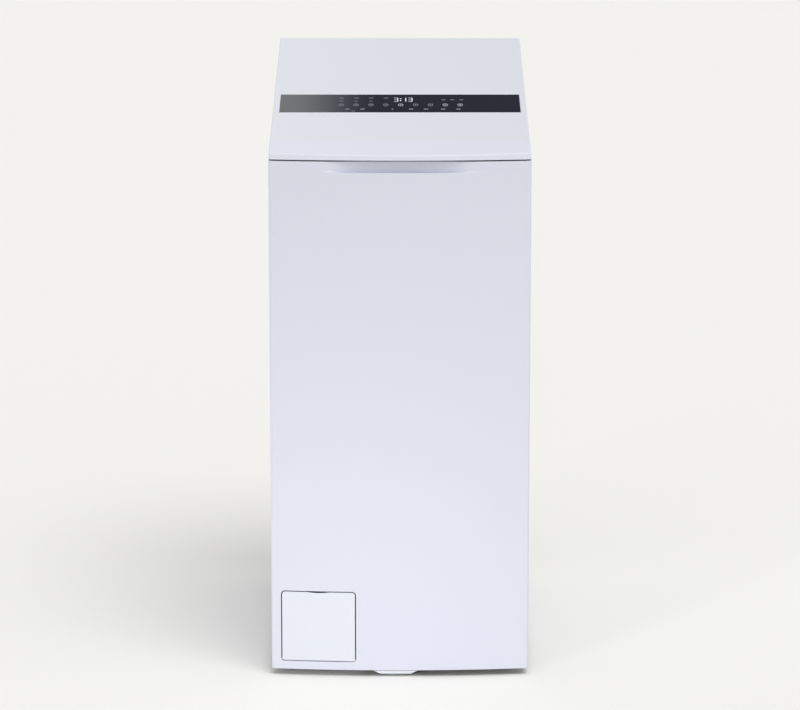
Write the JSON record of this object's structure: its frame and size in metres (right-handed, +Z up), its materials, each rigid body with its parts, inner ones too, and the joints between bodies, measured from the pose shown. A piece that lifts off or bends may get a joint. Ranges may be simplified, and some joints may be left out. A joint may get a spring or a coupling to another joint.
{
  "type": "top load washing machine",
  "caption": "Slim front-access top load washing machine with a sloped full-width lid, a glass control strip, a bowed front panel and a horizontal drum.",
  "frame": {"origin": "on the floor, under the middle of the machine's box", "axes": "+Z up, -Y the front, +X to the right when seen from the front"},
  "size_m": [0.4, 0.6, 0.9267],
  "materials": {
    "white_enamel": "gloss",
    "white_plastic": "gloss",
    "pale_plastic": "satin",
    "grey_plastic": "satin",
    "dark_plastic": "satin",
    "tub_plastic": "satin",
    "galvanised_steel": "satin",
    "drum_steel": "brushed",
    "bearing_steel": "polished",
    "zinc_screw": "satin",
    "black_rubber": "matte",
    "grey_rubber": "matte",
    "dark_glass": "gloss",
    "board_green": "satin",
    "cast_concrete": "matte",
    "cast_alloy": "satin"
  },
  "bodies": {
    "cabinet": {"front_panel": "white_enamel", "left_side_panel": "white_enamel", "right_side_panel": "white_enamel", "back_panel": "galvanised_steel", "back_panel_screws": "zinc_screw", "transit_hole_caps": "pale_plastic", "base_tray": "pale_plastic", "rear_feet": "dark_plastic", "filter_recess": "pale_plastic", "top_deck": "white_plastic", "dispenser_tray": "pale_plastic", "lid_lock": "dark_plastic", "suspension_brackets": "galvanised_steel", "hinge_brackets": "galvanised_steel", "inlet_valve": "pale_plastic", "drain_outlet": "grey_plastic", "cable_gland": "dark_plastic", "control_module": "pale_plastic", "pressure_switch": "pale_plastic", "pump_body": "grey_plastic", "damper_cylinders": "dark_plastic"},
    "lid": {"lid_outer_shell": "white_plastic", "lid_inner_liner": "white_plastic", "lid_seal": "grey_rubber", "lid_latch_hook": "galvanised_steel", "lid_hinge_pins": "bearing_steel", "control_glass": "dark_glass", "display_board": "board_green"},
    "lock_bolt": {"lock_bolt": "pale_plastic"},
    "tub": {"tub_left_half": "tub_plastic", "tub_right_half": "tub_plastic", "tub_screws": "zinc_screw", "bearing_housings": "cast_alloy", "drum_bearings": "bearing_steel", "shaft_seals": "black_rubber", "counterweights": "cast_concrete", "heater": "bearing_steel", "motor_housing": "cast_alloy", "damper_rods": "pale_plastic", "suspension_springs": "bearing_steel", "mouth_gasket": "grey_rubber", "drive_belt": "black_rubber", "sump_hose": "black_rubber"},
    "drum": {"drum_shell": "drum_steel", "drum_ends": "drum_steel", "drum_lifters": "pale_plastic", "drum_shafts": "bearing_steel", "drum_pulley": "cast_alloy"},
    "drum_flap_front": {"drum_flap_front": "drum_steel"},
    "drum_flap_rear": {"drum_flap_rear": "drum_steel"},
    "flap_latch": {"flap_latch_button": "grey_plastic"},
    "motor_rotor": {"motor_rotor": "bearing_steel"},
    "pump_door": {"pump_door": "white_plastic"},
    "filter_knob": {"filter_knob": "grey_plastic"},
    "pump_impeller": {"pump_impeller": "dark_plastic"},
    "trolley_lever": {"trolley_lever": "white_plastic"},
    "trolley_cradle": {"trolley_cradle": "galvanised_steel"},
    "castor_wheels": {"castor_wheels": "grey_rubber"},
    "front_left_foot": {"front_left_foot": "dark_plastic"},
    "front_right_foot": {"front_right_foot": "dark_plastic"}
  },
  "joints": [
    {"name": "lid_hinge", "type": "hinge", "parent": "cabinet", "child": "lid", "pos_m": [0, 0.289, 0.9157], "axis": [-1, 0, 0], "range_deg": [0, 100]},
    {"name": "lock_bolt_slide", "type": "slide", "parent": "cabinet", "child": "lock_bolt", "axis": [-1, 0, 0], "range_m": [0, 0.006]},
    {"name": "tub_bounce", "type": "slide", "parent": "cabinet", "child": "tub", "axis": [0, 0, 1], "range_m": [-0.01, 0.01], "stiffness_N_per_m": 20000, "springref_m": 0.015, "deforming": ["suspension_springs", "mouth_gasket", "sump_hose"]},
    {"name": "drum_spin", "type": "hinge", "parent": "tub", "child": "drum", "pos_m": [0, 0.005, 0.48], "axis": [1, 0, 0], "range_deg": [-180, 360]},
    {"name": "motor_spin", "type": "hinge", "parent": "tub", "child": "motor_rotor", "pos_m": [0, 0.15, 0.15], "axis": [1, 0, 0], "range_deg": [-2520, 5040]},
    {"name": "flap_front_hinge", "type": "hinge", "parent": "drum", "child": "drum_flap_front", "pos_m": [0, -0.117, 0.67439], "axis": [1, 0, 0], "range_deg": [0, 80]},
    {"name": "flap_rear_hinge", "type": "hinge", "parent": "drum", "child": "drum_flap_rear", "pos_m": [0, 0.127, 0.67439], "axis": [-1, 0, 0], "range_deg": [0, 80]},
    {"name": "flap_latch_press", "type": "slide", "parent": "drum_flap_front", "child": "flap_latch", "axis": [0, 0, -1], "range_m": [0, 0.003], "stiffness_N_per_m": 800, "springref_m": -0.001},
    {"name": "pump_door_hinge", "type": "hinge", "parent": "cabinet", "child": "pump_door", "pos_m": [-0.12522, -0.29147, 0.0255], "axis": [0.9969, -0.0787, 0], "range_deg": [0, 90]},
    {"name": "filter_turn", "type": "hinge", "parent": "cabinet", "child": "filter_knob", "pos_m": [-0.125, -0.27, 0.078], "axis": [0, -1, 0], "range_deg": [0, 90]},
    {"name": "impeller_spin", "type": "hinge", "parent": "cabinet", "child": "pump_impeller", "pos_m": [-0.125, -0.17, 0.078], "axis": [0, 1, 0], "continuous": true},
    {"name": "lever_swing", "type": "hinge", "parent": "cabinet", "child": "trolley_lever", "pos_m": [-0.007, -0.15, 0.007], "axis": [0, 0, 1], "range_deg": [0, 60]},
    {"name": "cradle_drop", "type": "slide", "parent": "cabinet", "child": "trolley_cradle", "axis": [0, 0, -1], "range_m": [0, 0.0105]},
    {"name": "castor_roll", "type": "hinge", "parent": "trolley_cradle", "child": "castor_wheels", "pos_m": [0, -0.15, 0.018], "axis": [1, 0, 0], "continuous": true},
    {"name": "front_left_foot_screw", "type": "slide", "parent": "cabinet", "child": "front_left_foot", "axis": [0, 0, -1], "range_m": [0, 0.012]},
    {"name": "front_right_foot_screw", "type": "slide", "parent": "cabinet", "child": "front_right_foot", "axis": [0, 0, -1], "range_m": [0, 0.012]}
  ],
  "couplings": [
    {"joint": "motor_spin", "follows": "drum_spin", "ratio": 14},
    {"joint": "cradle_drop", "follows": "lever_swing", "m_per_rad": 0.00955}
  ]
}
